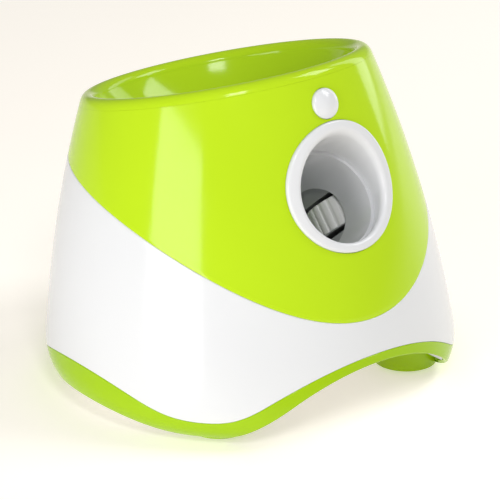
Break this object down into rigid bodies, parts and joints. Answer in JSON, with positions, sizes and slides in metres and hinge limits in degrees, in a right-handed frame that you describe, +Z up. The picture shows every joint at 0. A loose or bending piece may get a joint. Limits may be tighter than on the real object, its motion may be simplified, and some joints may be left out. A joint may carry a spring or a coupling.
{
  "type": "automatic dog ball launcher",
  "caption": "Leaning round ball launcher with a tilted hopper rim, a round launch port on the front, a push button above it, and an arched base band with feet.",
  "frame": {"origin": "middle of the body's outline on the floor, under the feet", "axes": "+Z up, -Y out of the launch port, +X to the right as the port is looked at from behind"},
  "size_m": [0.2182, 0.2068, 0.1784],
  "materials": {
    "lime_plastic": "gloss",
    "white_plastic": "gloss",
    "grey_plastic": "satin",
    "black_plastic": "satin",
    "black_rubber": "matte",
    "white_rubber": "satin",
    "bright_steel": "brushed",
    "spring_plate": "bright",
    "green_board": "satin",
    "cell_wrap": "satin",
    "brass_pin": "bright"
  },
  "bodies": {
    "case": {"upper_shell": "lime_plastic", "hopper": "lime_plastic", "hopper_spout": "lime_plastic", "lower_shell": "white_plastic", "base_band": "lime_plastic", "foot_1": "black_rubber", "foot_2": "black_rubber", "foot_3": "black_rubber", "foot_4": "black_rubber", "base_tray": "white_plastic", "port_ring": "white_plastic", "barrel": "white_plastic", "wheel_housing_left": "grey_plastic", "wheel_housing_right": "grey_plastic", "motor_left": "bright_steel", "motor_right": "bright_steel", "feed_motor": "bright_steel", "ball_sensor_left": "black_plastic", "ball_sensor_right": "black_plastic", "button_guide": "black_plastic", "button_switch": "black_plastic", "button_board": "green_board", "rear_panel": "grey_plastic", "rocker_frame": "black_plastic", "power_inlet": "black_plastic", "inlet_pin": "brass_pin", "battery_box": "black_plastic", "cell_1": "cell_wrap", "cell_2": "cell_wrap", "cell_3": "cell_wrap", "cell_4": "cell_wrap", "cell_5": "cell_wrap", "cell_6": "cell_wrap", "contact_front": "spring_plate", "contact_rear": "spring_plate", "main_board": "green_board", "board_chip": "black_plastic", "board_post_1": "white_plastic", "board_post_2": "white_plastic", "board_post_3": "white_plastic", "board_post_4": "white_plastic", "speaker": "black_plastic", "screw_1": "bright_steel", "screw_2": "bright_steel", "screw_3": "bright_steel", "screw_4": "bright_steel"},
    "button": {"button_cap": "white_plastic"},
    "wheel_left": {"wheel_hub_left": "grey_plastic", "wheel_tread_left": "white_rubber", "wheel_shaft_left": "bright_steel"},
    "wheel_right": {"wheel_hub_right": "grey_plastic", "wheel_tread_right": "white_rubber", "wheel_shaft_right": "bright_steel"},
    "feeder": {"feed_arm": "black_plastic"},
    "power_rocker": {"rocker": "black_plastic"},
    "door": {"battery_door": "white_plastic"}
  },
  "joints": [
    {"name": "button_press", "type": "slide", "parent": "case", "child": "button", "axis": [0, 0.9239, -0.3827], "range_m": [0, 0.001], "stiffness_N_per_m": 400, "springref_m": -0.001},
    {"name": "wheel_left_spin", "type": "hinge", "parent": "case", "child": "wheel_left", "pos_m": [-0.046, -0.03098, 0.08477], "axis": [0, 0.6428, 0.766], "continuous": true},
    {"name": "wheel_right_spin", "type": "hinge", "parent": "case", "child": "wheel_right", "pos_m": [0.046, -0.03098, 0.08477], "axis": [0, 0.6428, 0.766], "continuous": true},
    {"name": "feed_arm_turn", "type": "hinge", "parent": "case", "child": "feeder", "pos_m": [0, 0.00366, 0.0296], "axis": [1, 0, 0], "range_deg": [0, 60]},
    {"name": "power_rocker_tilt", "type": "hinge", "parent": "case", "child": "power_rocker", "pos_m": [-0.014, 0.09062, 0.096], "axis": [0, 0, 1], "range_deg": [-8, 8]},
    {"name": "battery_door_slide", "type": "slide", "parent": "case", "child": "door", "axis": [0, -1, 0], "range_m": [0, 0.018]}
  ],
  "couplings": [
    {"joint": "wheel_right_spin", "follows": "wheel_left_spin", "ratio": -1}
  ]
}
